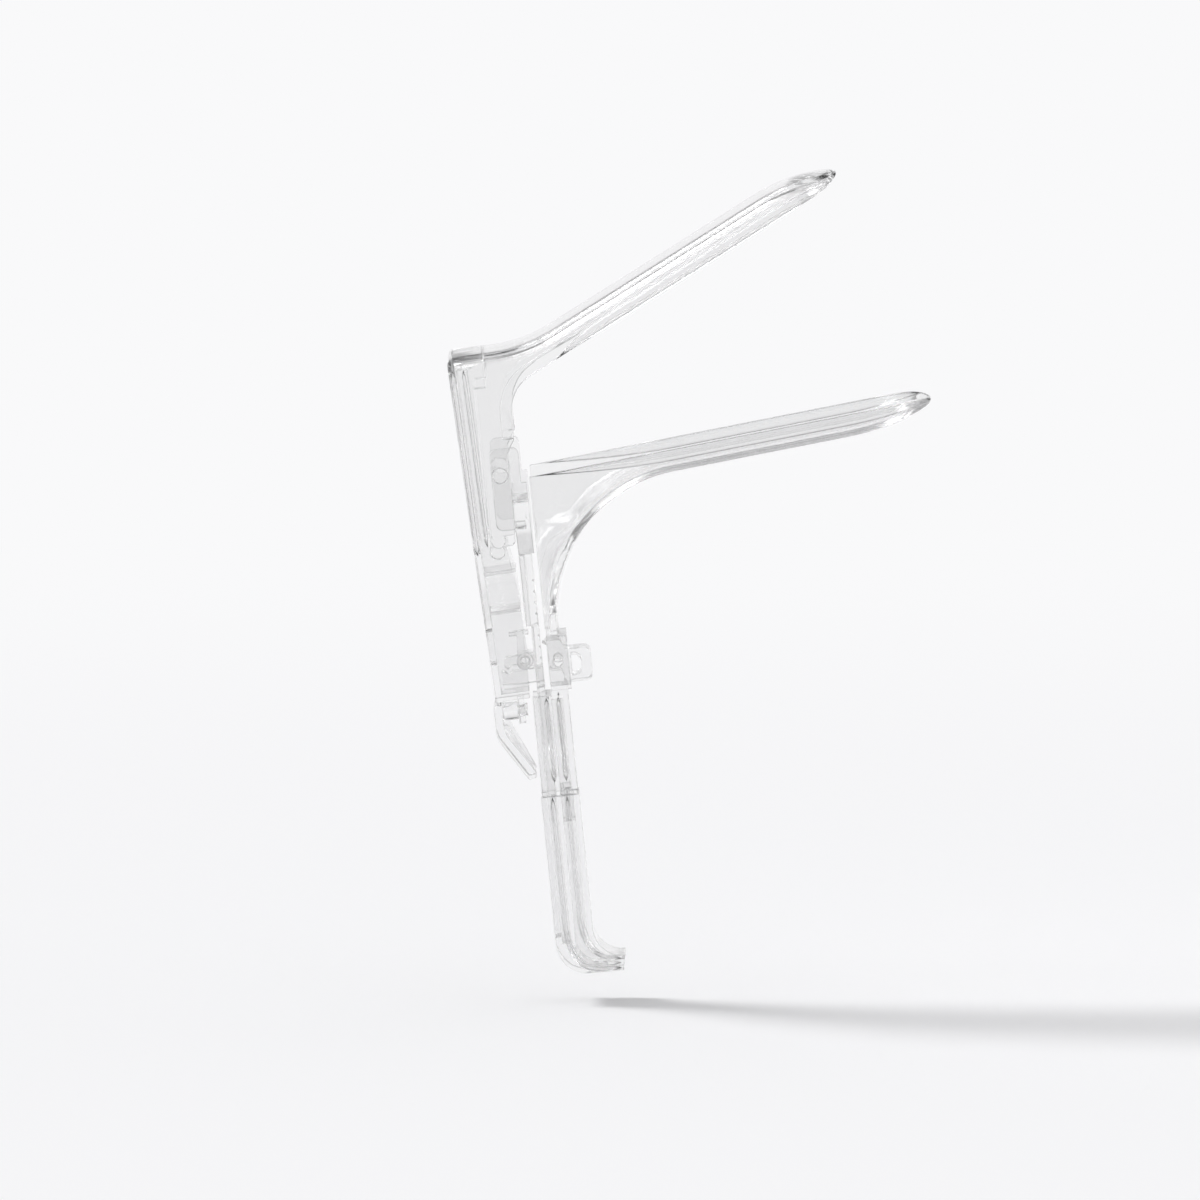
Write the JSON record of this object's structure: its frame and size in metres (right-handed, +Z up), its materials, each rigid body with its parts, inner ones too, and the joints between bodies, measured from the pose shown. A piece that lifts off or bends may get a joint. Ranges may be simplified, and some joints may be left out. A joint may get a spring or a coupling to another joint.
{
  "type": "bivalve speculum",
  "caption": "Clear plastic bivalve speculum with a tilting upper blade on a sliding upright, thumb lever, latches and a channel handle with a hooked foot.",
  "frame": {"origin": "centre of the grip, on the middle plane", "axes": "+X towards the tips of the blades, +Y to the left of the person who holds it, +Z up along the grip"},
  "size_m": [0.1267, 0.0342, 0.2069],
  "materials": {
    "clear_plastic": "clear, moulded, polished"
  },
  "bodies": {
    "handle": {"lower_blade": "clear_plastic", "handle_grip": "clear_plastic", "latch_pin": "clear_plastic"},
    "slide": {"slide": "clear_plastic", "pawl_pin": "clear_plastic"},
    "upper": {"upper_blade": "clear_plastic", "lever_frame": "clear_plastic", "thumb_lever": "clear_plastic", "tilt_rack": "clear_plastic"},
    "latch": {"height_latch": "clear_plastic"},
    "pawl": {"tilt_pawl": "clear_plastic"}
  },
  "joints": [
    {"name": "blade_lift", "type": "slide", "parent": "handle", "child": "slide", "axis": [0, 0, 1], "range_m": [-0.018, 0.003]},
    {"name": "blade_tilt", "type": "hinge", "parent": "slide", "child": "upper", "pos_m": [-0.0074, 0, 0.1026], "axis": [0, 1, 0], "range_deg": [0, 21.5]},
    {"name": "latch_press", "type": "hinge", "parent": "handle", "child": "latch", "pos_m": [0.0029, 0, 0.0509], "axis": [0, 1, 0], "range_deg": [-11, 5], "stiffness_Nm_per_rad": 0.02, "springref_deg": -10.89},
    {"name": "pawl_press", "type": "hinge", "parent": "slide", "child": "pawl", "pos_m": [-0.00585, 0, 0.0515], "axis": [0, 1, 0], "range_deg": [-10, 6], "stiffness_Nm_per_rad": 0.01, "springref_deg": -9.74}
  ]
}
